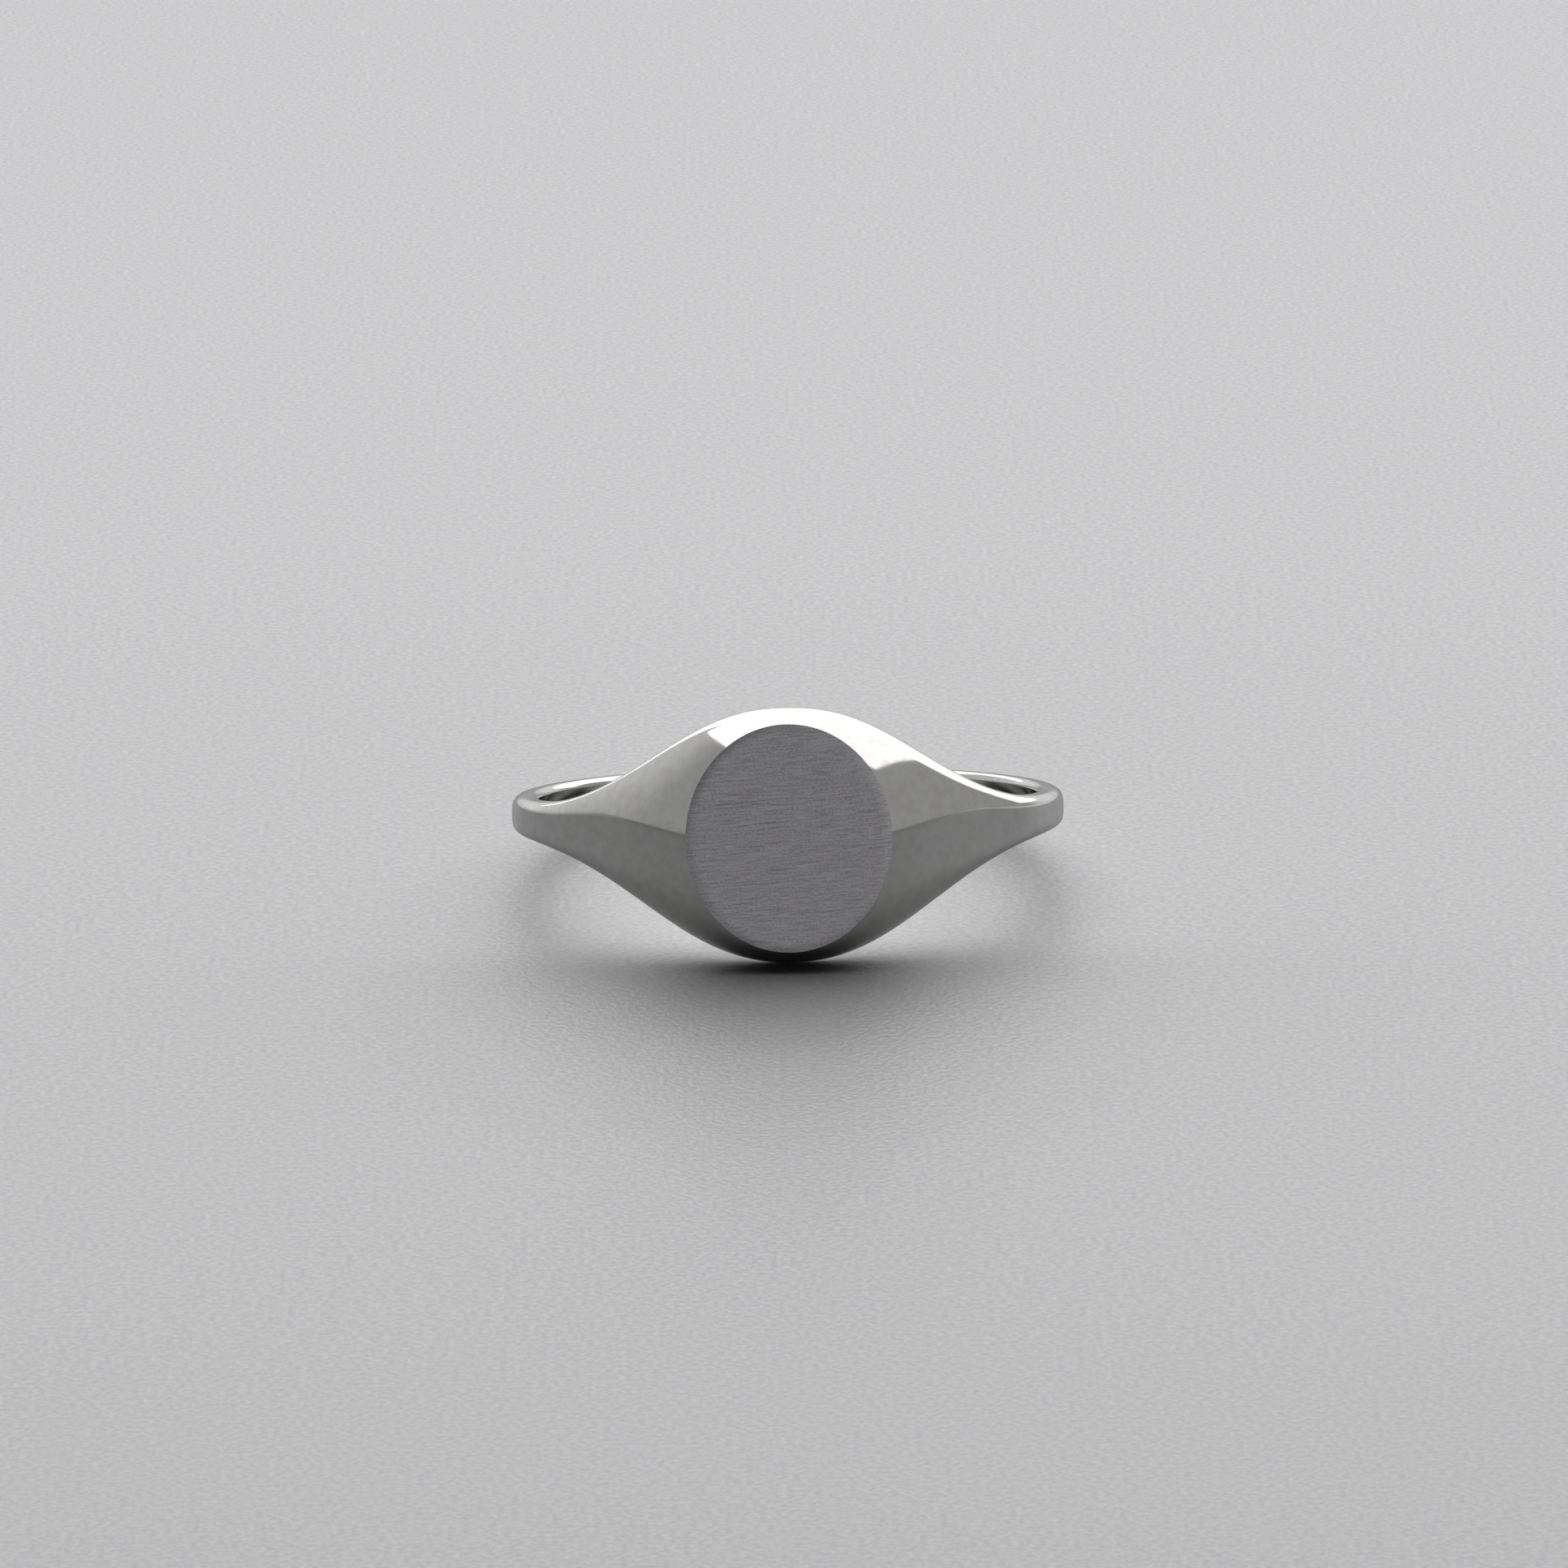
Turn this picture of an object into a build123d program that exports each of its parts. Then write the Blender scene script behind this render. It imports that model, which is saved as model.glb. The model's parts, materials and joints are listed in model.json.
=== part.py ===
from build123d import *
import math
import os

# A signet ring in sterling silver with a plain oval face. It is made up the way a goldsmith
# makes one by hand: a shank bent from wire, two tapered shoulders, a domed head and a flat
# face plate, silver-soldered end to end. Every joint is filed flush, so the outside is one
# unbroken shape.
#
# The ring is worked out upright in its own frame: the finger hole runs along Z and the face
# looks to -Y. An azimuth is an angle about Z, 0 at the middle of the face and positive
# towards +X. It is then laid down as it rests on a table, on the lower rim of its head and
# the lower edge of its band, with the face looking to -Y and a little up.

# Driving dimensions, in millimetres
BORE_RADIUS = 8.65  # finger hole, US size 7
BAND_WALL = 0.95  # metal behind the finger, at the crown of the band
BAND_WIDTH = 1.3  # band, along the finger
HEAD_WALL = 1.65  # metal between the finger hole and the face
FACE_WIDTH = 6.9  # oval face, round the finger
FACE_HEIGHT = 7.7  # oval face, along the finger
FACE_FLANK = 0.5  # how far the head stands out past each end of the oval, along the finger
PLATE_WALL = 0.5  # face plate
SOLDER_WALL = 0.05  # silver solder in every joint
COMFORT_RADIUS = 0.25  # rounding where the finger hole meets the sides

# Driving angles, in degrees of azimuth
TAPER_ANGLE = 37.5  # how fast the head's width falls away to the band's
HEAD_MARGIN = 4.0  # from the foot of the face plate to the end of the head
SHANK_ANGLE = 75.0  # where the shoulders meet the shank

# Section shape
TAPER_POWER = 2.3  # the taper's power: 2 is a plain bell, and more has a rounder head
CROWN_BLEND = 0.1  # how softly the crown runs into the band, in millimetres
CROWN_FADE = 48.0  # azimuth where the last of the crown's rise begins to fade out
CROWN_END = 70.0  # azimuth past which the crown keeps the band's radius
BAND_POWER = 3.5  # superellipse power round the band, which is flatter than the head's ellipse
BAND_ANGLE = 45.0  # azimuth where a section is half way from ellipse to band
BAND_SHARPNESS = 6.0  # how suddenly it goes from one to the other
ROUND_SWEEP = 60.0  # how far round the comfort rounding goes before it meets the finger hole
CUT_DEPTH = 0.1  # how far a blank runs inside the finger hole, before the hole is cut
DOME_STEPS = 16  # spans of a section's dome
SECTION_PITCH = 6.0  # degrees between two sections, at most
MEASURE_TOLERANCE = 0.005  # how closely the laid ring is measured, to centre it

# Worked out from the driving dimensions
side_radius = BORE_RADIUS + COMFORT_RADIUS  # where every section is widest
band_radius = BORE_RADIUS + BAND_WALL
head_width = FACE_HEIGHT + 2 * FACE_FLANK
face_distance = BORE_RADIUS + HEAD_WALL
plate_foot = face_distance - PLATE_WALL
solder_foot = plate_foot - SOLDER_WALL

def bell(azimuth, spread, power=2.0):
    """A smooth hump: 1 at the face, falling to 0 round the ring."""
    turn = min(azimuth % 360, -azimuth % 360)
    return math.exp(-((turn / spread) ** power))


def half_width(azimuth):
    """Half the ring's width along the finger."""
    flare = (head_width - BAND_WIDTH) / 2
    return BAND_WIDTH / 2 + flare * bell(azimuth, TAPER_ANGLE, TAPER_POWER)


def crown(azimuth):
    """Distance from the axis to the top of the dome.

    Near the face, a section is half an ellipse, and its crown is as high as makes the flat
    face cut it on the edge of the oval. Past the oval the same law goes on falling, and a
    soft step takes it over to the band's radius.
    """
    turn = min(azimuth % 360, -azimuth % 360)
    if turn >= CROWN_END:
        return band_radius
    fade = min(1, (CROWN_END - turn) / (CROWN_END - CROWN_FADE))
    angle = math.radians(turn)
    across = face_distance * math.tan(angle) / (FACE_WIDTH / 2)
    share = (FACE_HEIGHT / 2 / half_width(azimuth)) ** 2 * (1 - across**2)
    stretch = (face_distance / math.cos(angle) - side_radius) / math.sqrt(1 - share)
    step = side_radius + stretch - band_radius
    rise = CROWN_BLEND * math.log1p(math.exp(step / CROWN_BLEND))
    return band_radius + rise * fade**2 * (3 - 2 * fade)


def bisect(value, low, high):
    """Where a falling function crosses zero."""
    for _ in range(60):
        middle = (low + high) / 2
        low, high = (middle, high) if value(middle) > 0 else (low, middle)
    return low


def foot_gap(azimuth):
    """How far the crown stands out past the foot of the face plate."""
    return crown(azimuth) * math.cos(math.radians(azimuth)) - solder_foot


head_angle = bisect(foot_gap, 0, 60) + HEAD_MARGIN
solder_angle = math.degrees(SOLDER_WALL / side_radius)


def dome(azimuth):
    """(distance, height) pairs over a section's dome, from its upper side to its lower one.

    The dome is half a superellipse, walked by the angle of a ray from its middle.
    """
    power = BAND_POWER + (2 - BAND_POWER) * bell(azimuth, BAND_ANGLE, BAND_SHARPNESS)
    rise, reach = crown(azimuth) - side_radius, half_width(azimuth)
    pairs = []
    for step in range(DOME_STEPS + 1):
        turn = math.pi * (0.5 - step / DOME_STEPS)
        out, up = abs(math.cos(turn)), math.sin(turn)
        scale = (out**power + abs(up) ** power) ** (-1 / power)
        pairs.append((side_radius + rise * out * scale, reach * up * scale))
    return pairs


def comfort_round(azimuth):
    """(distance, height) at the start, middle and end of the upper inside rounding."""
    middle = half_width(azimuth) - COMFORT_RADIUS
    pairs = []
    for sweep in (0, ROUND_SWEEP / 2, ROUND_SWEEP):
        turn = math.radians(90 + sweep)
        out, up = COMFORT_RADIUS * math.cos(turn), COMFORT_RADIUS * math.sin(turn)
        pairs.append((side_radius + out, middle + up))
    return pairs


def place(azimuth, pair):
    """The point at an azimuth, a distance from the axis and a height."""
    angle = math.radians(azimuth)
    return Vector(pair[0] * math.sin(angle), -pair[0] * math.cos(angle), pair[1])


def section(azimuth):
    """The ring's closed outline at an azimuth: dome, roundings, and two flats inside the hole."""
    outside = [place(azimuth, pair) for pair in dome(azimuth)]
    upper = comfort_round(azimuth)
    inside = BORE_RADIUS - CUT_DEPTH
    turn = math.radians(90 + ROUND_SWEEP)
    run = (upper[2][0] - inside) / math.sin(turn)
    upper.append((inside, upper[2][1] + run * math.cos(turn)))
    lower = [place(azimuth, (distance, -height)) for distance, height in upper]
    upper = [place(azimuth, pair) for pair in upper]
    spans = [step / DOME_STEPS for step in range(DOME_STEPS + 1)]
    return Wire(
        [
            Edge.make_spline(outside, parameters=spans),
            ThreePointArc(*lower[:3]),
            Line(lower[2], lower[3]),
            Line(lower[3], upper[3]),
            Line(upper[3], upper[2]),
            ThreePointArc(upper[2], upper[1], upper[0]),
        ]
    )


def sector(start, end):
    """The ring between two azimuths, with the finger hole cut through it."""
    count = max(1, math.ceil((end - start) / SECTION_PITCH))
    azimuths = [start + (end - start) * step / count for step in range(count + 1)]
    blank = loft([Face(section(azimuth)) for azimuth in azimuths])
    seam = (start + end) / 2 + 90  # the hole's own seam, across from the sector
    return blank - Rot(0, 0, seam) * Cylinder(BORE_RADIUS, 2 * head_width)


def slab(near, far):
    """A flat slab across the head, between two distances from the axis."""
    size = 4 * face_distance
    return Pos(0, -(near + far) / 2, 0) * Box(size, far - near, size)


def make_head():
    """The head, its face plate and the solder between them, cut from one domed blank."""
    blank = sector(-head_angle, head_angle)
    return {
        "head": blank - slab(solder_foot, 2 * face_distance),
        "face_solder": blank & slab(solder_foot, plate_foot),
        "face_plate": blank & slab(plate_foot, face_distance),
    }


def make_side():
    """The right shoulder with the solder at both of its ends."""
    shoulder_start = head_angle + solder_angle
    return {
        "shoulder_solder_right": sector(head_angle, shoulder_start),
        "shoulder_right": sector(shoulder_start, SHANK_ANGLE),
        "shank_solder_right": sector(SHANK_ANGLE, SHANK_ANGLE + solder_angle),
    }


def make_ring():
    """Every piece, upright, by name."""
    pieces = make_head()
    for name, piece in make_side().items():
        pieces[name] = piece
        pieces[name.replace("right", "left")] = mirror(piece, about=Plane.YZ)
    start = SHANK_ANGLE + solder_angle
    pieces["shank"] = sector(start, 360 - start)
    return pieces


def lowest(start, end, tilt):
    """Height of the lowest point between two azimuths, once the ring is laid back by a tilt."""
    lean = math.radians(tilt)
    heights = []
    for azimuth in range(start, end + 1):
        middle = half_width(azimuth) - COMFORT_RADIUS
        centre = place(azimuth, (side_radius, -middle))
        heights.append(-centre.Y * math.sin(lean) + centre.Z * math.cos(lean) - COMFORT_RADIUS)
        for point in (place(azimuth, pair) for pair in dome(azimuth)):
            heights.append(-point.Y * math.sin(lean) + point.Z * math.cos(lean))
    return min(heights)


def main():
    os.makedirs("parts", exist_ok=True)
    pieces = make_ring()
    tilt = bisect(lambda angle: lowest(90, 180, angle) - lowest(0, 90, angle), 0, 45)
    laid = {name: Rot(-tilt, 0, 0) * piece for name, piece in pieces.items()}
    points = [point for piece in laid.values() for point in piece.tessellate(MEASURE_TOLERANCE)[0]]
    low = Vector(*(min(values) for values in zip(*points)))
    high = Vector(*(max(values) for values in zip(*points)))
    shift = Pos(-(low.X + high.X) / 2, -(low.Y + high.Y) / 2, -low.Z)
    for name, piece in laid.items():
        export_step(shift * piece, f"parts/{name}.step")
    print("tilt", round(tilt, 4), "head joint", round(head_angle, 3), "crown", round(crown(0), 4))
    print("axis passes", [round(value, 4) for value in shift.position])
    print("size", [round(value, 3) for value in high - low])


main()
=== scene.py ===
import json
import math

import bpy
import numpy as np
from mathutils import Matrix, Vector


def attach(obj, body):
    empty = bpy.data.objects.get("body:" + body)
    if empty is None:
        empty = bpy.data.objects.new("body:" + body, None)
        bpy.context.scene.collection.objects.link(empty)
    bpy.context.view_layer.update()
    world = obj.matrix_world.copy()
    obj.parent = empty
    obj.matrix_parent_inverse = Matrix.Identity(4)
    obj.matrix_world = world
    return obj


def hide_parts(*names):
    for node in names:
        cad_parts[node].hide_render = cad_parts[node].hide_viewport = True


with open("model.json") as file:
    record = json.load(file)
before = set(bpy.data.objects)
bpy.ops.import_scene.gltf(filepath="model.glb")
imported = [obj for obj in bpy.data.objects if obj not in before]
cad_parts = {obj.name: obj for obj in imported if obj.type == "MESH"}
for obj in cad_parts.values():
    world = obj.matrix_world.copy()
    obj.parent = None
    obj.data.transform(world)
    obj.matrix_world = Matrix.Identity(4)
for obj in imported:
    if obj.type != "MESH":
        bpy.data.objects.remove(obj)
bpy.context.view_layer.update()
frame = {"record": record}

# A sterling silver signet ring, lying on its side on a pale table with its brushed oval face
# to the viewer. Shapes are worked out in millimetres and turned to metres in the mesh.
MM = 0.001

# ---------------------------------------------------------------- the ring's own frame
mounts = {mount["name"]: mount for mount in frame["record"]["mounts"]}
RING_CENTRE = np.array(mounts["finger_bore"]["pos_m"]) / MM
ALONG_FINGER = np.array(mounts["finger_bore"]["axis"])
ALONG_FINGER = ALONG_FINGER / np.linalg.norm(ALONG_FINGER)
ACROSS_FACE = np.cross(ALONG_FINGER, np.array(mounts["face"]["axis"]))
ACROSS_FACE = ACROSS_FACE / np.linalg.norm(ACROSS_FACE)
OUT_OF_FACE = np.cross(ACROSS_FACE, ALONG_FINGER)
BORE_RADIUS = mounts["finger_bore"]["dims"]["r_mm"]
FACE_CENTRE = np.array(mounts["face"]["pos_m"]) / MM
FACE_DISTANCE = float(np.dot(FACE_CENTRE - RING_CENTRE, OUT_OF_FACE))

# Sizes in millimetres
BAND_WALL = 0.95
BAND_WIDTH = 1.3
FACE_WIDTH = 6.9
FACE_HEIGHT = 7.7
FACE_FLANK = 0.5  # how far the head stands out past each end of the oval
PLATE_WALL = 0.5
SOLDER_WALL = 0.05
COMFORT_RADIUS = 0.25  # rounding where the finger hole meets the sides
CROWN_BLEND = 0.1  # how softly the crown runs into the band
ROLL_WIDTH = 0.32  # how far in the brushed face is rounded over at its edge
ROLL_DROP = 0.035  # how far the edge sits below the middle of the face
SET_IN = 0.005  # how far the finished surfaces lie under the outline, to stay inside its facets

# Angles round the finger, in degrees from the middle of the face
TAPER_ANGLE = 37.5
CROWN_FADE = 48.0
CROWN_END = 70.0
HEAD_MARGIN = 4.0
SHANK_ANGLE = 75.0
BAND_ANGLE = 45.0
WIDEST_CUT = 60.0  # no cut across the head reaches this far round

# Powers of the section's curves
TAPER_POWER = 2.3
BAND_POWER = 3.5
BAND_SHARPNESS = 6.0

SINE_DIGITS = 9  # a sine smaller than these digits show is none

side_radius = BORE_RADIUS + COMFORT_RADIUS
band_radius = BORE_RADIUS + BAND_WALL
head_width = FACE_HEIGHT + 2 * FACE_FLANK
plate_foot = FACE_DISTANCE - PLATE_WALL
solder_foot = plate_foot - SOLDER_WALL
solder_angle = math.degrees(SOLDER_WALL / side_radius)


def bell(azimuth, spread, power):
    """A hump round the ring: e to the minus (azimuth over spread) to a power."""
    turn = np.abs((azimuth + 180) % 360 - 180)
    return np.exp(-((turn / spread) ** power))


def half_width(azimuth):
    """Half the ring's width along the finger: the band's, plus a bell at the head."""
    flare = (head_width - BAND_WIDTH) / 2
    return BAND_WIDTH / 2 - SET_IN + flare * bell(azimuth, TAPER_ANGLE, TAPER_POWER)


def crown(azimuth):
    """Distance from the finger's axis to the top of the dome.

    As high as makes the flat face cut each half-elliptical section on the edge of the oval,
    then a soft step (the log of one plus an exponential) down to the band, faded out.
    """
    turn = np.minimum(np.abs((azimuth + 180) % 360 - 180), CROWN_END)
    angle = np.radians(turn)
    across = FACE_DISTANCE * np.tan(angle) / (FACE_WIDTH / 2)
    share = (FACE_HEIGHT / 2 / half_width(turn)) ** 2 * (1 - across**2)
    stretch = (FACE_DISTANCE / np.cos(angle) - side_radius) / np.sqrt(1 - share)
    rise = CROWN_BLEND * np.log1p(np.exp((side_radius + stretch - band_radius) / CROWN_BLEND))
    fade = np.clip((CROWN_END - turn) / (CROWN_END - CROWN_FADE), 0, 1)
    return band_radius - SET_IN + rise * fade**2 * (3 - 2 * fade)


def dome_power(azimuth):
    """Superellipse power of a section's dome: 2 at the head, flatter round the band."""
    return BAND_POWER + (2 - BAND_POWER) * bell(azimuth, BAND_ANGLE, BAND_SHARPNESS)


def ring_point(azimuth, distance, height):
    """The point at an azimuth, a distance from the finger's axis and a height along it."""
    angle = np.radians(azimuth)
    across, out = distance * np.sin(angle), distance * np.cos(angle)
    parts = np.broadcast_arrays(across, out, height)
    axes = (ACROSS_FACE, OUT_OF_FACE, ALONG_FINGER)
    return RING_CENTRE + sum(part[..., None] * axis for part, axis in zip(parts, axes))


def dome(azimuth, ray):
    """Outside of a section: half a superellipse, by the angle of a ray from its middle."""
    power = dome_power(azimuth)
    out, up = np.cos(ray), np.sin(ray)
    scale = (np.abs(out) ** power + np.abs(up) ** power) ** (-1 / power)
    distance = side_radius + (crown(azimuth) - side_radius) * out * scale
    return ring_point(azimuth, distance, half_width(azimuth) * up * scale)


def upper_round(azimuth, sweep):
    """Quarter circle from the widest point in to the finger hole, on the upper side."""
    middle = half_width(azimuth) - COMFORT_RADIUS
    distance = side_radius - COMFORT_RADIUS * np.sin(sweep)
    return ring_point(azimuth, distance, middle + COMFORT_RADIUS * np.cos(sweep))


def hole_wall(azimuth, share):
    """Straight across the finger hole's wall, from its upper edge to its lower one."""
    return ring_point(azimuth, BORE_RADIUS, -share * (half_width(azimuth) - COMFORT_RADIUS))


def lower_round(azimuth, sweep):
    """Quarter circle from the finger hole out to the widest point, on the lower side."""
    middle = half_width(azimuth) - COMFORT_RADIUS
    distance = side_radius - COMFORT_RADIUS * np.cos(sweep)
    return ring_point(azimuth, distance, -middle - COMFORT_RADIUS * np.sin(sweep))


def bisect(value, low, high):
    """Where a falling function crosses zero, for a whole array at once."""
    for _ in range(50):
        middle = (low + high) / 2
        above = value(middle) > 0
        low, high = np.where(above, middle, low), np.where(above, high, middle)
    return low


def slice_end(level):
    """Azimuth where the crown dips below a plane across the head."""
    gap = lambda azimuth: crown(azimuth) * np.cos(np.radians(azimuth)) - level
    return bisect(gap, np.zeros_like(level), np.full_like(level, WIDEST_CUT))


def flank(around, level):
    """The dome cut by a plane: an oval at each level, by the angle around it.

    Its height is none at the oval's two ends, where the sine's last digits are rounded away
    so that the upper and the lower half meet.
    """
    end = slice_end(level)
    across = level * np.tan(np.radians(end)) * np.cos(around)
    azimuth = np.degrees(np.arctan2(across, level))
    power = dome_power(azimuth)
    ratio = (np.hypot(across, level) - side_radius) / (crown(azimuth) - side_radius)
    up = np.clip(1 - ratio**power, 0, None) ** (1 / power)
    height = half_width(azimuth) * up * np.sign(np.round(np.sin(around), SINE_DIGITS))
    return plane_point(across, level, height)


def plane_point(across, level, height):
    """The point at a distance across the face, a level out of it and a height along the finger."""
    parts = np.broadcast_arrays(across, level, height)
    axes = (ACROSS_FACE, OUT_OF_FACE, ALONG_FINGER)
    return RING_CENTRE + sum(part[..., None] * axis for part, axis in zip(parts, axes))


# ---------------------------------------------------------------- meshes
NUDGE = 1e-5  # how far apart two points are taken to find a slope
WELD_DIGITS = 5  # points that agree to this many digits of a millimetre are one


def unit(vectors):
    """Vectors at length 1, and those of no length left alone."""
    return vectors / np.maximum(np.linalg.norm(vectors, axis=-1, keepdims=True), 1e-12)


def patch(shape, first, second):
    """A grid of points on a surface, with its true normals, from the surface's two slopes."""
    first, second = np.broadcast_arrays(first, second)
    along = shape(first + NUDGE, second) - shape(first - NUDGE, second)
    across = shape(first, second + NUDGE) - shape(first, second - NUDGE)
    return shape(first, second), unit(np.cross(along, across))


def flat_patch(start, end, normal):
    """A flat sheet ruled between two lines of points that run side by side."""
    points = np.stack([start, end], axis=1)
    return points, np.broadcast_to(np.array(normal, dtype=float), points.shape)


def corners(grid):
    """The two triangles of every cell of a grid, as corner values."""
    a, b, c, d = grid[:-1, :-1], grid[1:, :-1], grid[1:, 1:], grid[:-1, 1:]
    triangles = np.stack([np.stack([a, b, c], axis=2), np.stack([a, c, d], axis=2)], axis=2)
    return triangles.reshape(-1, 3, grid.shape[-1])


def mark_borders(mesh, owner):
    """Sharp edges where one patch meets another, so that each keeps its own normals."""
    edge = np.empty(len(mesh.loops), dtype=np.int32)
    mesh.loops.foreach_get("edge_index", edge)
    owner = np.repeat(owner, 3)
    least = np.full(len(mesh.edges), owner.max())
    most = np.zeros(len(mesh.edges), dtype=owner.dtype)
    np.minimum.at(least, edge, owner)
    np.maximum.at(most, edge, owner)
    mesh.edges.foreach_set("use_edge_sharp", least != most)


def make_piece(name, node, patches, materials):
    """One closed piece from patches of (points, normals), or (points, normals, material).

    Triangles of all patches are put together, points that meet are welded, triangles that
    have shrunk to nothing are left out, and the true normals are kept at every corner.
    """
    points = np.concatenate([corners(part[0]) for part in patches])
    normals = np.concatenate([corners(part[1]) for part in patches])
    counts = [len(corners(part[0])) for part in patches]
    owner = np.repeat(np.arange(len(patches)), counts)
    finish = np.repeat([part[2] if len(part) > 2 else 0 for part in patches], counts)
    rounded = np.round(points.reshape(-1, 3), WELD_DIGITS)
    places, index = np.unique(rounded, axis=0, return_inverse=True)
    index = index.reshape(-1, 3)
    real = (index[:, 0] != index[:, 1]) & (index[:, 1] != index[:, 2]) & (index[:, 2] != index[:, 0])
    index, normals, finish, owner = index[real], normals[real], finish[real], owner[real]

    mesh = bpy.data.meshes.new(name)
    mesh.vertices.add(len(places))
    mesh.vertices.foreach_set("co", (places * MM).ravel())
    mesh.loops.add(index.size)
    mesh.loops.foreach_set("vertex_index", index.ravel())
    mesh.polygons.add(len(index))
    mesh.polygons.foreach_set("loop_start", np.arange(0, index.size, 3))
    mesh.polygons.foreach_set("material_index", finish.astype(np.int32))
    mesh.update(calc_edges=True)
    mark_borders(mesh, owner)
    mesh.normals_split_custom_set(normals.reshape(-1, 3))
    for material in materials:
        mesh.materials.append(material)
    piece = bpy.data.objects.new(name, mesh)
    bpy.context.scene.collection.objects.link(piece)
    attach(piece, "root")
    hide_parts(node)
    return piece


# ---------------------------------------------------------------- materials
def linear(hex_colour):
    """An sRGB hex colour as linear red, green, blue and alpha."""
    shares = [int(hex_colour[place : place + 2], 16) / 255 for place in (1, 3, 5)]
    return tuple(s / 12.92 if s <= 0.04045 else ((s + 0.055) / 1.055) ** 2.4 for s in shares) + (1.0,)


def add(tree, kind, inputs=None, **settings):
    """A node with its settings, and its inputs either set or linked."""
    node = tree.nodes.new(kind)
    for key, value in settings.items():
        setattr(node, key, value)
    for key, value in (inputs or {}).items():
        if isinstance(value, bpy.types.NodeSocket):
            tree.links.new(value, node.inputs[key])
        else:
            node.inputs[key].default_value = value
    return node


def new_material(name):
    """An empty node material, its tree and its output node."""
    material = bpy.data.materials.new(name)
    material.use_nodes = True
    tree = material.node_tree
    tree.nodes.clear()
    return material, tree, add(tree, "ShaderNodeOutputMaterial")


def per_mm(size):
    """The texture scale whose pattern repeats about once in a size, in millimetres."""
    return 1 / (size * MM)


# Waves and haze that polishing leaves, in millimetres
WAVE_SIZE = 2.2
WAVE_HEIGHT = 0.004
HAZE_SIZE = 0.35


def polished_silver(name, colour, mottle):
    """Silver or its solder, buffed by hand on a felt wheel.

    To the eye it is a mirror that isn't quite true: its reflections are a little soft and
    wavy, and faintly mottled where the polish has left more haze.
    """
    material, tree, output = new_material(name)
    place = add(tree, "ShaderNodeTexCoord").outputs["Object"]
    waves = add(
        tree,
        "ShaderNodeTexNoise",
        {"Vector": place, "Scale": per_mm(WAVE_SIZE), "Detail": 1.5},
    )
    haze = add(
        tree,
        "ShaderNodeTexNoise",
        {"Vector": place, "Scale": per_mm(HAZE_SIZE), "Detail": 5.0},
    )
    cloudy = add(tree, "ShaderNodeMapRange", {"Value": haze.outputs["Fac"], 1: 0.32, 2: 0.62})
    rough = add(
        tree,
        "ShaderNodeMapRange",
        {"Value": haze.outputs["Fac"], 1: 0.35, 2: 0.75, 3: 0.10, 4: 0.05},
    )
    shade = add(
        tree,
        "ShaderNodeMix",
        {"Factor": cloudy.outputs[0], "A": linear(mottle), "B": linear(colour)},
        data_type="RGBA",
    )
    bump = add(
        tree,
        "ShaderNodeBump",
        {"Height": waves.outputs["Fac"], "Strength": 1.0, "Distance": WAVE_HEIGHT * MM},
    )
    shader = add(
        tree,
        "ShaderNodeBsdfPrincipled",
        {
            "Base Color": shade.outputs["Result"],
            "Metallic": 1.0,
            "Roughness": rough.outputs[0],
            "Normal": bump.outputs["Normal"],
        },
    )
    tree.links.new(shader.outputs[0], output.inputs["Surface"])
    return material


def stretched(tree, place, turn, length, width, detail):
    """Noise drawn out into lines: their turn in degrees, length and width in millimetres."""
    tilt = (0.0, 0.0, math.radians(turn))
    lines = add(
        tree,
        "ShaderNodeMapping",
        {"Vector": place, "Rotation": tilt, "Scale": (length, width, 1.0)},
        vector_type="TEXTURE",
    )
    noise = {"Vector": lines.outputs[0], "Scale": 1.0, "Detail": detail}
    return add(tree, "ShaderNodeTexNoise", noise).outputs["Fac"]


# Lines, scratches and pits of the brushed face: turn in degrees, length and width in millimetres.
# The abrasive's own lines are finer, and are drawn this coarse so that they show.
LINES = (3.0, 0.8, 0.05)
SCRATCHES = (4.5, 2.6, 0.07)
PITS = (0.0, 0.09, 0.07)
LINE_DEPTH = 0.005


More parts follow.
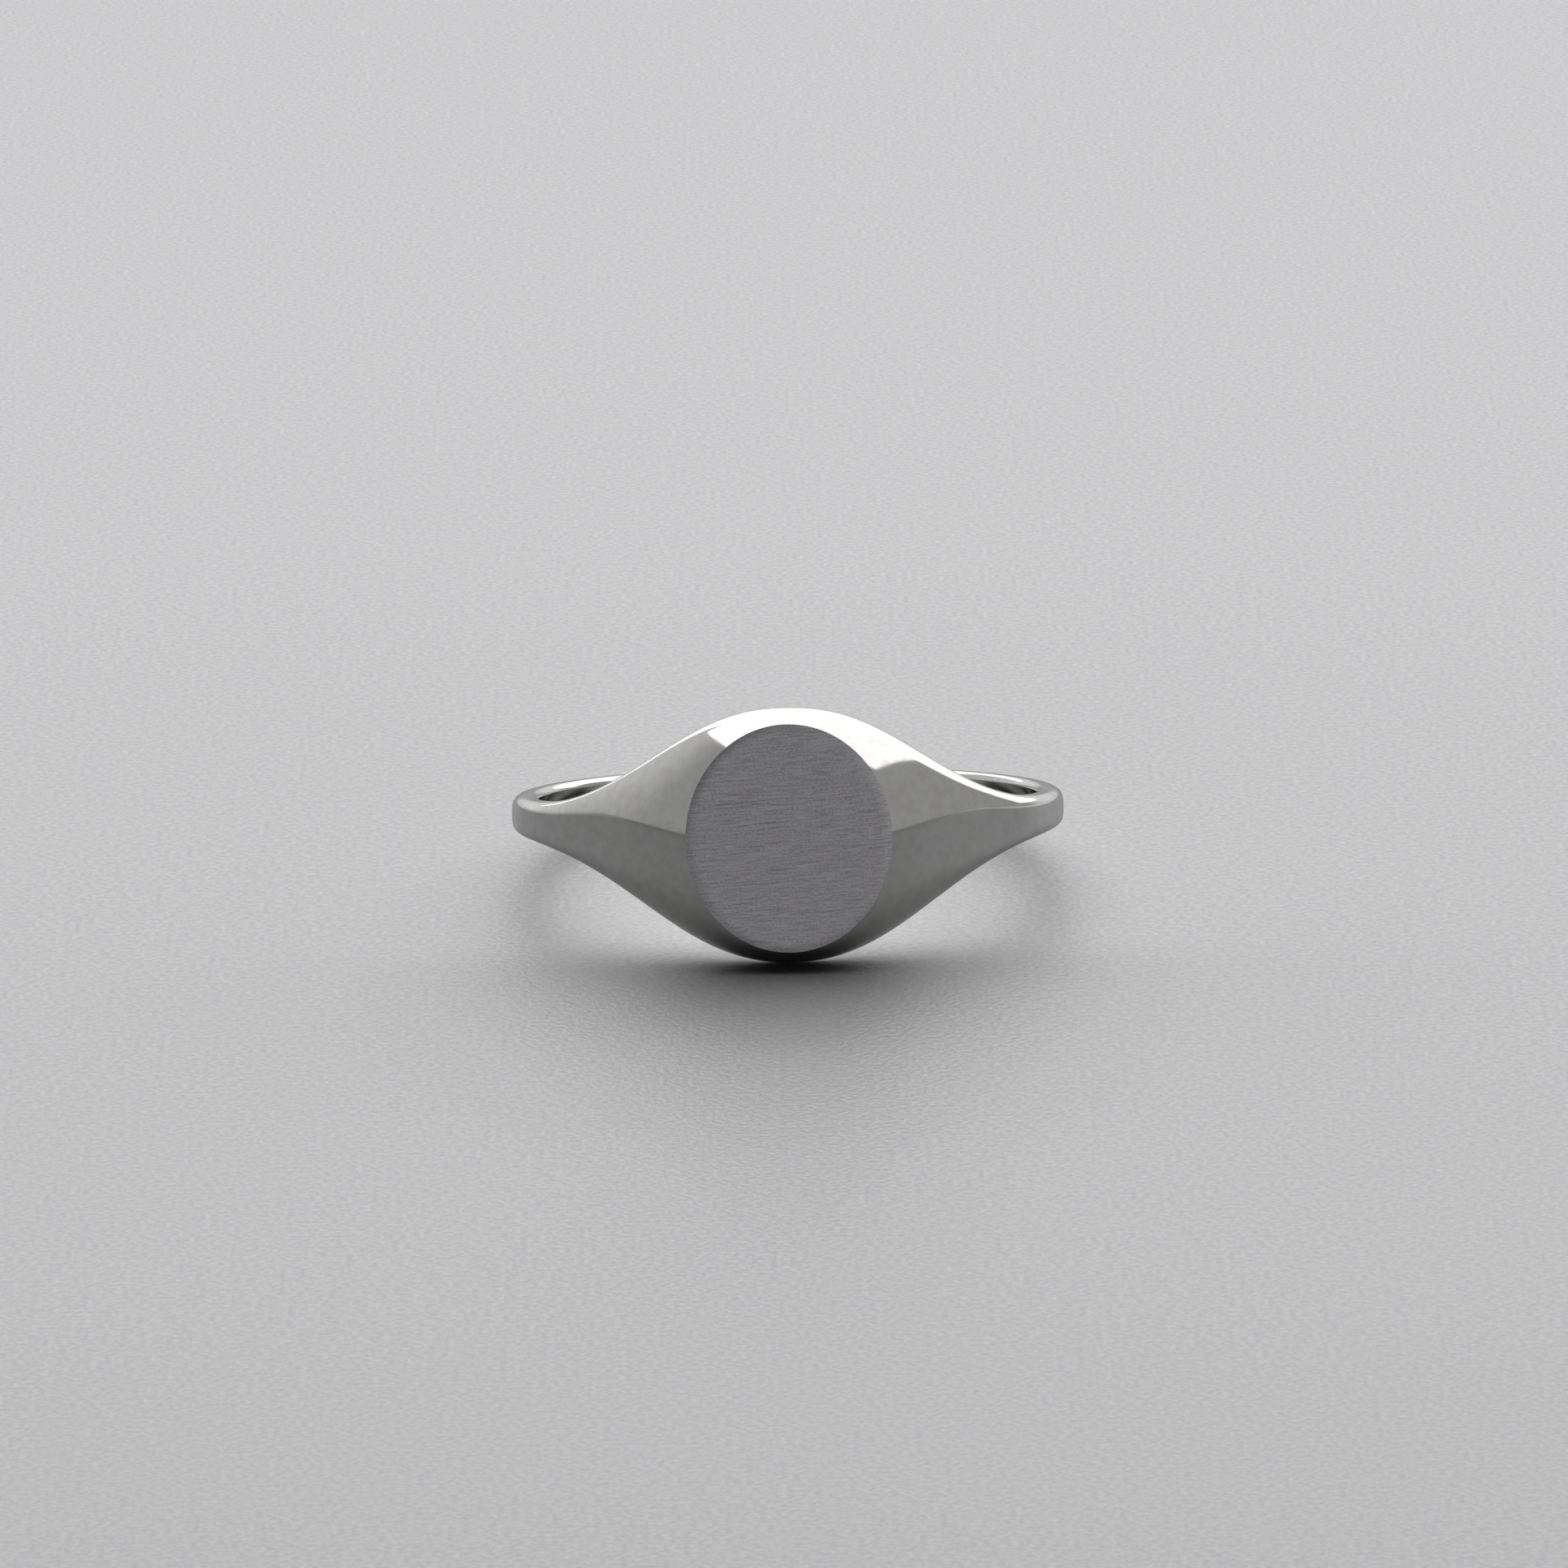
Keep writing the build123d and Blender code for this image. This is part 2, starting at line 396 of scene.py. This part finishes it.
def brushed_silver():
    """Sterling silver drawn sideways over fine abrasive paper.

    To the eye it is dull and grey, with close short lines across it, a few longer scratches
    that are darker or lighter, and a sheen that spreads up and down.
    """
    material, tree, output = new_material("brushed sterling silver")
    place = add(tree, "ShaderNodeTexCoord").outputs["UV"]
    fine = stretched(tree, place, *LINES, 3.0)
    deep = stretched(tree, place, *SCRATCHES, 1.0)
    dark = add(
        tree,
        "ShaderNodeMapRange",
        {"Value": deep, 1: 0.26, 2: 0.38, 3: 0.68, 4: 1.0},
        interpolation_type="SMOOTHSTEP",
    )
    light = add(
        tree,
        "ShaderNodeMapRange",
        {"Value": deep, 1: 0.63, 2: 0.74, 3: 1.0, 4: 1.25},
        interpolation_type="SMOOTHSTEP",
    )
    marks = add(
        tree,
        "ShaderNodeMath",
        {0: dark.outputs[0], 1: light.outputs[0]},
        operation="MULTIPLY",
    )
    grain = add(tree, "ShaderNodeMapRange", {"Value": fine, 1: 0.32, 2: 0.68, 3: 0.80, 4: 1.20})
    value = add(
        tree,
        "ShaderNodeMath",
        {0: grain.outputs[0], 1: marks.outputs[0]},
        operation="MULTIPLY",
    )
    specks = stretched(tree, place, *PITS, 2.0)
    pitted = add(tree, "ShaderNodeMapRange", {"Value": specks, 1: 0.32, 2: 0.68, 3: 0.84, 4: 1.16})
    total = add(
        tree,
        "ShaderNodeMath",
        {0: value.outputs[0], 1: pitted.outputs[0]},
        operation="MULTIPLY",
    )
    shade = add(
        tree,
        "ShaderNodeVectorMath",
        {0: linear("#f0edf2")[:3], "Scale": total.outputs[0]},
        operation="SCALE",
    )
    bump = add(
        tree,
        "ShaderNodeBump",
        {"Height": fine, "Strength": 0.5, "Distance": LINE_DEPTH * MM},
    )
    along = add(tree, "ShaderNodeTangent", direction_type="UV_MAP")
    shader = add(
        tree,
        "ShaderNodeBsdfPrincipled",
        {
            "Base Color": shade.outputs["Vector"],
            "Metallic": 1.0,
            "Roughness": 0.36,
            "Anisotropic": 0.5,
            "Tangent": along.outputs[0],
            "Normal": bump.outputs["Normal"],
        },
    )
    tree.links.new(shader.outputs[0], output.inputs["Surface"])
    return material


# The table's card, in millimetres. Its fibres are finer than this grit, which is drawn as coarse
# as it needs to be to show.
GRIT_SIZE = 0.2
GRIT_HEIGHT = 0.06
GRIT_FADE = (12, 50)  # where the grit starts to soften and is softest, from the ring's middle
# painted shade: the share of black mixed into the card where the silver mirrors it
MIRRORED_PAINTED_SHADE = 0.50
DIMMED_TO = (25, 60)  # where the painted shade in the mirrored card starts to fade and is gone, beyond the ring's middle
SHADE_REACH = 20  # how near the ring has to be for the painted shadow on the card
SHADED_FROM = (-6, -11)  # where that painted shadow starts and is full, on this side of the ring's middle
DEEPEST = 0.35  # the share of open sky over the card at which the painted shadow is black


def table_card():
    """Pale satin card: dull from above, with a soft sheen of the light behind it at low angles.

    Its grit stands out round the ring and softens away from it. The silver mirrors the part
    under and in front of it darkened by a painted shade, which keeps the ring's undersides
    dark on a pale table, and a painted shadow darkens the card further in front of the ring,
    where the ring closes it in.
    """
    material, tree, output = new_material("pale satin card")
    place = add(tree, "ShaderNodeTexCoord").outputs["Object"]
    grit = add(
        tree,
        "ShaderNodeTexNoise",
        {"Vector": place, "Scale": per_mm(GRIT_SIZE), "Detail": 5.0},
    )
    away = add(tree, "ShaderNodeVectorMath", {0: place}, operation="LENGTH")
    strong, soft = (distance * MM for distance in GRIT_FADE)
    relief = add(
        tree,
        "ShaderNodeMapRange",
        {"Value": away.outputs["Value"], 1: strong, 2: soft, 3: 1.0, 4: 0.3},
    )
    bump = add(
        tree,
        "ShaderNodeBump",
        {"Height": grit.outputs["Fac"], "Strength": relief.outputs[0], "Distance": GRIT_HEIGHT * MM},
    )
    lean = add(tree, "ShaderNodeLayerWeight", {"Blend": 0.5})
    sheen = add(
        tree,
        "ShaderNodeMapRange",
        {"Value": lean.outputs["Facing"], 1: 0.38, 2: 0.80, 3: 0.02, 4: 0.41},
        interpolation_type="SMOOTHSTEP",
    )
    fibres = add(tree, "ShaderNodeMapRange", {"Value": grit.outputs["Fac"], 1: 0.36, 2: 0.64})
    tint = add(
        tree,
        "ShaderNodeMix",
        {"Factor": fibres.outputs[0], "A": linear("#e2e2e6"), "B": linear("#ffffff")},
        data_type="RGBA",
    )
    dull = add(tree, "ShaderNodeBsdfDiffuse", {"Color": linear("#d6d6d7")})
    satin = add(
        tree,
        "ShaderNodeBsdfAnisotropic",
        {"Color": tint.outputs["Result"], "Roughness": 0.45, "Normal": bump.outputs["Normal"]},
    )
    card = add(
        tree,
        "ShaderNodeMixShader",
        {0: sheen.outputs[0], 1: dull.outputs[0], 2: satin.outputs[0]},
    )
    # Painted shade: for glossy rays the card is mixed towards black, so the silver mirrors it darker
    ray = add(tree, "ShaderNodeLightPath")
    behind = add(tree, "ShaderNodeSeparateXYZ", {0: place}).outputs["Y"]
    near, far = (distance * MM for distance in DIMMED_TO)
    under = add(
        tree,
        "ShaderNodeMapRange",
        {"Value": behind, 1: near, 2: far, 3: MIRRORED_PAINTED_SHADE, 4: 0.0},
    )
    dimming = add(
        tree,
        "ShaderNodeMath",
        {0: ray.outputs["Is Glossy Ray"], 1: under.outputs[0]},
        operation="MULTIPLY",
    )
    # Painted shadow: where ambient occlusion finds the card closed in before the ring, it is mixed
    # towards black
    open_sky = add(
        tree,
        "ShaderNodeAmbientOcclusion",
        {"Distance": SHADE_REACH * MM},
        samples=6,
    )
    closed_in = add(
        tree,
        "ShaderNodeMapRange",
        {"Value": open_sky.outputs["AO"], 1: DEEPEST, 2: 1.0, 3: 1.0, 4: 0.0},
    )
    start, full = (distance * MM for distance in SHADED_FROM)
    in_front = add(
        tree,
        "ShaderNodeMapRange",
        {"Value": behind, 1: full, 2: start, 3: 1.0, 4: 0.0},
        interpolation_type="SMOOTHSTEP",
    )
    contact = add(
        tree,
        "ShaderNodeMath",
        {0: closed_in.outputs[0], 1: in_front.outputs[0]},
        operation="MULTIPLY",
    )
    shade = add(
        tree,
        "ShaderNodeMath",
        {0: contact.outputs[0], 1: dimming.outputs[0]},
        operation="MAXIMUM",
    )
    # the black that the painted shade and the painted shadow are mixed towards
    shadow = add(tree, "ShaderNodeBsdfDiffuse", {"Color": linear("#000000")})
    shaded = add(
        tree,
        "ShaderNodeMixShader",
        {0: shade.outputs[0], 1: card.outputs[0], 2: shadow.outputs[0]},
    )
    tree.links.new(shaded.outputs[0], output.inputs["Surface"])
    return material


SILVER = polished_silver("polished sterling silver", "#f3f3f1", "#eae8e5")
SOLDER = polished_silver("polished silver solder", "#f3f3f1", "#eae8e5")
BRUSHED = brushed_silver()

# ---------------------------------------------------------------- the ring's pieces
# Cells of the grids
DOME_CELLS = 96
ROUND_CELLS = 12
WALL_CELLS = 12
COLUMN_ANGLE = 0.75  # degrees between two columns of a grid, at most
CUT_COLUMNS = 96  # columns of the head where the plane cuts it
MARGIN_COLUMNS = 8  # columns on either side of the cut
OVAL_CELLS = 256
FLANK_CELLS = 10
ROLLED_SHARES = np.linspace(0, 0.09, 13)  # rings of the face, close where it is rounded over
FLAT_SHARES = np.linspace(0.12, 0.99, 20)  # and wider over its flat middle
TIP_SLACK = 1e-9  # degrees by which a column may miss the cut's tip

quarter = np.linspace(0, math.pi / 2, ROUND_CELLS + 1)
wall_shares = -np.cos(np.linspace(0, math.pi, WALL_CELLS + 1))


def columns(start, end):
    """Azimuths from one end of a piece to the other."""
    count = max(2, math.ceil((end - start) / COLUMN_ANGLE))
    return np.linspace(start, end, count + 1)[:, None]


def inside_patches(azimuths):
    """Both roundings and the wall of the finger hole."""
    return [
        patch(upper_round, azimuths, quarter),
        patch(hole_wall, azimuths, wall_shares),
        patch(lower_round, azimuths, quarter),
    ]


def end_caps(outline, azimuths):
    """A flat fan over each end of a piece, from the section's edge to its middle."""
    caps = []
    for column, side in ((0, -1), (-1, 1)):
        azimuth = float(azimuths[column, 0])
        edge = outline[column][::-side]
        middle = np.broadcast_to(ring_point(azimuth, band_radius - BAND_WALL / 2, 0.0), edge.shape)
        angle = math.radians(azimuth)
        along = math.cos(angle) * ACROSS_FACE - math.sin(angle) * OUT_OF_FACE
        caps.append(flat_patch(edge, middle, side * along))
    return caps


def band_piece(name, start, end, material):
    """A length of the ring between two azimuths, with no cut in it."""
    azimuths = columns(start, end)
    rays = np.linspace(-math.pi / 2, math.pi / 2, DOME_CELLS + 1)
    walls = [patch(dome, azimuths, rays)] + inside_patches(azimuths)
    outline = np.concatenate([points for points, _ in walls], axis=1)
    return make_piece(name, name, walls + end_caps(outline, azimuths), [material])


def head_piece(end):
    """The head under the face plate: the dome with a flat cut across its top."""
    foot_end = float(slice_end(np.array(solder_foot)))
    inner = foot_end * np.sin(np.linspace(-math.pi / 2, math.pi / 2, CUT_COLUMNS + 1))
    outer = np.linspace(foot_end, end, MARGIN_COLUMNS + 1)[1:]
    azimuths = np.concatenate([-outer[::-1], inner, outer])[:, None]
    power = dome_power(azimuths)
    cut = solder_foot / np.cos(np.radians(azimuths))
    ratio = np.minimum((cut - side_radius) / (crown(azimuths) - side_radius), 1)
    up = np.clip(1 - ratio**power, 0, None) ** (1 / power)
    up[np.abs(azimuths) >= foot_end - TIP_SLACK] = 0
    cut_ray = np.arctan2(up, ratio)
    shares = np.linspace(0, 1, DOME_CELLS // 2 + 1)
    rays = cut_ray + shares * (math.pi / 2 - cut_ray)
    upper = patch(dome, azimuths, rays)
    lower = patch(dome, azimuths, -rays[:, ::-1])
    top = flat_patch(lower[0][:, -1], upper[0][:, 0], OUT_OF_FACE)
    walls = [lower, top, upper] + inside_patches(azimuths)
    outline = np.concatenate([points for points, _ in walls], axis=1)
    return make_piece("head", "head", walls + end_caps(outline, azimuths), [SILVER])


def oval_slice(name, near, far, material):
    """A slice of the dome between two flat cuts."""
    around = np.linspace(0, 2 * math.pi, OVAL_CELLS + 1)[:, None]
    side = patch(flank, around, np.linspace(near, far, FLANK_CELLS + 1))
    foot = flat_patch(side[0][:, 0] * 0 + plane_point(0.0, near, 0.0), side[0][:, 0], -OUT_OF_FACE)
    top = flat_patch(side[0][:, -1], side[0][:, -1] * 0 + plane_point(0.0, far, 0.0), OUT_OF_FACE)
    return make_piece(name, name, [side, foot, top], [material])


def face_surface(around, share):
    """The face: rings shrunk from its edge to its middle, the outermost ones rolled over."""
    rim = FACE_DISTANCE - ROLL_DROP
    edge = flank(around, np.full_like(around, rim)) - RING_CENTRE
    across, height = edge @ ACROSS_FACE, edge @ ALONG_FINGER
    inset = share * np.hypot(across, height)
    drop = ROLL_DROP * np.clip(1 - inset / ROLL_WIDTH, 0, None) ** 2
    return plane_point(across * (1 - share), FACE_DISTANCE - drop, height * (1 - share))


def face_plate():
    """The brushed oval plate, with a polished flank."""
    around = np.linspace(0, 2 * math.pi, OVAL_CELLS + 1)[:, None]
    rim = FACE_DISTANCE - ROLL_DROP
    side = patch(flank, around, np.linspace(plate_foot, rim, FLANK_CELLS + 1))
    foot = flat_patch(side[0][:, 0] * 0 + plane_point(0.0, plate_foot, 0.0), side[0][:, 0], -OUT_OF_FACE)
    shares = np.concatenate([ROLLED_SHARES, FLAT_SHARES])
    points, normals = patch(face_surface, around, shares[None, :])
    middle = np.broadcast_to(plane_point(0.0, FACE_DISTANCE, 0.0), points[:, -1].shape)
    centre = flat_patch(points[:, -1], middle, OUT_OF_FACE)
    patches = [side, foot, (points, normals, 1), (*centre, 1)]
    piece = make_piece("face_plate", "face_plate", patches, [SILVER, BRUSHED])
    lay_grain(piece)
    return piece


def lay_grain(piece):
    """A UV map in millimetres across and up the face, for the brushed lines to follow."""
    mesh = piece.data
    places = np.empty(len(mesh.vertices) * 3)
    mesh.vertices.foreach_get("co", places)
    places = places.reshape(-1, 3) / MM - FACE_CENTRE
    flat = np.stack([places @ ACROSS_FACE, places @ ALONG_FINGER], axis=1)
    corner = np.empty(len(mesh.loops), dtype=np.int32)
    mesh.loops.foreach_get("vertex_index", corner)
    layer = mesh.uv_layers.new(name="grain")
    layer.data.foreach_set("uv", flat[corner].ravel())


head_end = float(slice_end(np.array(solder_foot))) + HEAD_MARGIN
shoulder_start = head_end + solder_angle
shank_start = SHANK_ANGLE + solder_angle

head_piece(head_end)
face_plate()
oval_slice("face_solder", solder_foot, plate_foot, SOLDER)
band_piece("shoulder_right", shoulder_start, SHANK_ANGLE, SILVER)
band_piece("shoulder_left", -SHANK_ANGLE, -shoulder_start, SILVER)
band_piece("shoulder_solder_right", head_end, shoulder_start, SOLDER)
band_piece("shoulder_solder_left", -shoulder_start, -head_end, SOLDER)
band_piece("shank_solder_right", SHANK_ANGLE, shank_start, SOLDER)
band_piece("shank_solder_left", -shank_start, -SHANK_ANGLE, SOLDER)
band_piece("shank", shank_start, 360 - shank_start, SILVER)

# ---------------------------------------------------------------- table, light and camera
FLOOR_HALF = 3.0  # metres
ROOM_GREY = 0.27
LIGHTER_GREY = 0.53
LIGHTER_WAY = (-0.69, 0.69, 0.20)
HORIZON_GREY = 0.66
FILL_SHARE = 0.10  # how much of the room's light the dull card takes
SOFTBOX_RADIANCE = 0.9
DARKER_SHARE = 0.25
DARKER_WAY = (-0.40, -0.75, 0.53)


def make_floor():
    """A wide flat table under the ring."""
    mesh = bpy.data.meshes.new("table")
    quarters = ((-1, -1), (1, -1), (1, 1), (-1, 1))
    mesh.from_pydata([(x * FLOOR_HALF, y * FLOOR_HALF, 0) for x, y in quarters], [], [(0, 1, 2, 3)])
    mesh.materials.append(table_card())
    floor = bpy.data.objects.new("table", mesh)
    bpy.context.scene.collection.objects.link(floor)


def softbox(name, centre, target, size):
    """A rectangular area light that looks at a point, its place and size in metres.

    Its power is its radiance times pi times its area.
    """
    lamp = bpy.data.lights.new(name, "AREA")
    lamp.shape = "RECTANGLE"
    lamp.size, lamp.size_y = size
    lamp.energy = SOFTBOX_RADIANCE * math.pi * size[0] * size[1]
    holder = bpy.data.objects.new(name, lamp)
    aim = Vector(target) - Vector(centre)
    turned = aim.to_track_quat("-Z", "Y").to_matrix().to_4x4()
    holder.matrix_world = Matrix.Translation(centre) @ turned
    bpy.context.scene.collection.objects.link(holder)


def room_light():
    """A grey room: lighter beyond the ring on the left, darker above the viewer's left.

    Low down beyond the ring it is as pale as the table's far end. It lights the dull card less
    than the silver mirrors of it, so that the ring's shadow stays deep.
    """
    world = bpy.data.worlds.new("grey room")
    world.use_nodes = True
    tree = world.node_tree
    ray = add(tree, "ShaderNodeTexCoord").outputs["Object"]
    toward = add(tree, "ShaderNodeVectorMath", {0: ray, 1: LIGHTER_WAY}, operation="DOT_PRODUCT")
    lighter = add(
        tree,
        "ShaderNodeMapRange",
        {"Value": toward.outputs["Value"], 1: 0.68, 2: 1.0, 3: ROOM_GREY, 4: LIGHTER_GREY},
    )
    away = add(tree, "ShaderNodeVectorMath", {0: ray, 1: DARKER_WAY}, operation="DOT_PRODUCT")
    darker = add(
        tree,
        "ShaderNodeMapRange",
        {"Value": away.outputs["Value"], 1: 0.75, 2: 0.96, 3: 1.0, 4: DARKER_SHARE},
        interpolation_type="SMOOTHSTEP",
    )
    room = add(
        tree,
        "ShaderNodeMath",
        {0: lighter.outputs[0], 1: darker.outputs[0]},
        operation="MULTIPLY",
    )
    parts = add(tree, "ShaderNodeSeparateXYZ", {0: ray})
    low = add(
        tree,
        "ShaderNodeMapRange",
        {"Value": parts.outputs["Z"], 1: 0.10, 2: 0.34, 3: 1.0, 4: 0.0},
        interpolation_type="SMOOTHSTEP",
    )
    beyond = add(
        tree,
        "ShaderNodeMapRange",
        {"Value": parts.outputs["Y"], 1: 0.55, 2: 0.85},
        interpolation_type="SMOOTHSTEP",
    )
    horizon = add(
        tree,
        "ShaderNodeMath",
        {0: low.outputs[0], 1: beyond.outputs[0]},
        operation="MULTIPLY",
    )
    seen = add(
        tree,
        "ShaderNodeMix",
        {"Factor": horizon.outputs[0], "A": room.outputs[0], "B": HORIZON_GREY},
        data_type="FLOAT",
    )
    path = add(tree, "ShaderNodeLightPath")
    fill = add(
        tree,
        "ShaderNodeMapRange",
        {"Value": path.outputs["Is Diffuse Ray"], 1: 0.0, 2: 1.0, 3: 1.0, 4: FILL_SHARE},
    )
    strength = add(
        tree,
        "ShaderNodeMath",
        {0: seen.outputs["Result"], 1: fill.outputs[0]},
        operation="MULTIPLY",
    )
    background = tree.nodes["Background"]
    background.inputs["Color"].default_value = (1.0, 1.0, 1.0, 1.0)
    tree.links.new(strength.outputs[0], background.inputs["Strength"])
    bpy.context.scene.world = world


CAMERA_DISTANCE = 0.340  # metres
CAMERA_RISE = 17.0  # degrees, as the two below
CAMERA_SIDE = 0.1
CAMERA_ROLL = 0.78
FRAME_WIDTH = 0.05458  # how wide a stretch the camera takes in at the ring, in metres
SENSOR = 36.0
AIM_UP = 0.88  # millimetres from the ring's centre, as the one below
AIM_LEFT = 0.12


def make_camera():
    """A long lens a little above the table, turned a touch about its own axis."""
    rise, side, roll = (math.radians(angle) for angle in (CAMERA_RISE, CAMERA_SIDE, CAMERA_ROLL))
    ahead = Vector((math.sin(side) * math.cos(rise), math.cos(side) * math.cos(rise), -math.sin(rise)))
    right = Vector((math.cos(side), -math.sin(side), 0))
    up = right.cross(ahead)
    aim = Vector(RING_CENTRE * MM) + (up * AIM_UP - right * AIM_LEFT) * MM
    tilted_right = right * math.cos(roll) - up * math.sin(roll)
    tilted_up = right * math.sin(roll) + up * math.cos(roll)
    lens = bpy.data.cameras.new("camera")
    lens.sensor_width = SENSOR
    lens.lens = SENSOR * CAMERA_DISTANCE / FRAME_WIDTH
    lens.clip_start = 0.01
    camera = bpy.data.objects.new("camera", lens)
    turned = Matrix((tilted_right, tilted_up, -ahead)).transposed().to_4x4()
    camera.matrix_world = Matrix.Translation(aim - ahead * CAMERA_DISTANCE) @ turned
    bpy.context.scene.collection.objects.link(camera)
    bpy.context.scene.camera = camera


make_floor()
softbox("overhead softbox", (0.17, 0.21, 0.40), (0.17, 0.21, 0.0), (1.06, 0.58))
softbox("back softbox", (0.30, 0.60, 0.36), (0.30, 0.0, 0.36), (1.26, 0.48))
room_light()
make_camera()
bpy.context.scene.view_settings.view_transform = "Standard"
